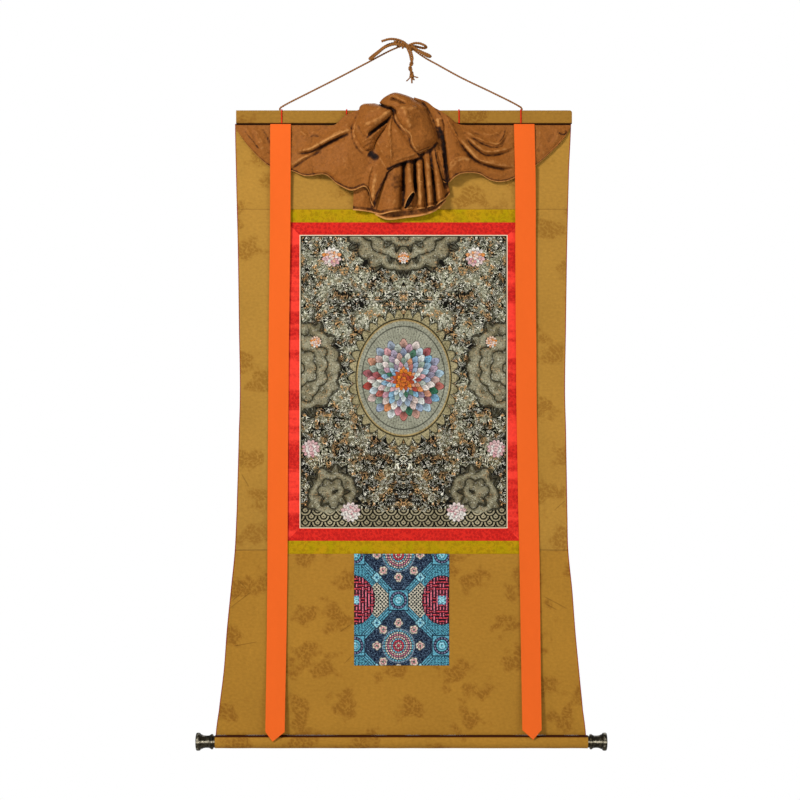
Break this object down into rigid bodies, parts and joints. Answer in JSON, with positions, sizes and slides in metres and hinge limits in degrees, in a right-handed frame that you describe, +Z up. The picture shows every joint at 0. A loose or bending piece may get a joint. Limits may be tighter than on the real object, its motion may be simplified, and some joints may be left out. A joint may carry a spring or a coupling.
{
  "type": "thangka scroll painting with hanging batten and bottom roller",
  "caption": "Hanging scroll: a picture in brocade frames on a damask ground that flares to a roller, under a gathered silk veil and ribbons, with a batten and cord to hang it by.",
  "frame": {"origin": "the point that the hanging cord passes over, under its bow", "axes": "+Z up, the front faces -Y, +X to the viewer's right"},
  "size_m": [0.872, 0.0793, 1.5079],
  "materials": {
    "damask": "olive-gold damask, tone on tone",
    "damask_bottom": "olive-gold damask, a shade darker",
    "maroon_piping": "fine maroon piping",
    "yellow_brocade": "yellow-olive brocade",
    "red_brocade": "red brocade with satin bands",
    "painted_canvas": "painted cotton, matt",
    "blue_brocade": "woven blue brocade",
    "orange_ribbon": "orange taffeta",
    "veil_silk": "thin brown silk",
    "wood": "plain softwood",
    "dark_bronze": "dark patina, worn bright on the edges",
    "red_thread": "twisted red thread",
    "twine": "two-ply brown cord"
  },
  "bodies": {
    "root": {"panel_top": "damask", "panel_left": "damask", "panel_right": "damask", "panel_bottom": "damask_bottom", "piping_left": "maroon_piping", "piping_right": "maroon_piping", "yellow_top": "yellow_brocade", "yellow_bottom": "yellow_brocade", "yellow_left": "yellow_brocade", "yellow_right": "yellow_brocade", "red_top": "red_brocade", "red_bottom": "red_brocade", "red_left": "red_brocade", "red_right": "red_brocade", "painting": "painted_canvas", "door_panel": "blue_brocade", "batten_sleeve": "damask", "batten": "wood", "thread_1": "red_thread", "thread_2": "red_thread", "thread_3": "red_thread", "thread_4": "red_thread", "roller_sleeve": "damask_bottom", "roller": "wood", "knob_left": "dark_bronze", "knob_right": "dark_bronze", "ribbon_left": "orange_ribbon", "ribbon_right": "orange_ribbon", "veil": "veil_silk", "cord_left": "twine", "cord_right": "twine", "cord_knot": "twine", "bow_left_end": "twine", "bow_left_loop": "twine", "bow_right_loop": "twine", "bow_lower_loop": "twine", "cord_tail": "twine", "cord_end": "twine"}
  },
  "joints": []
}
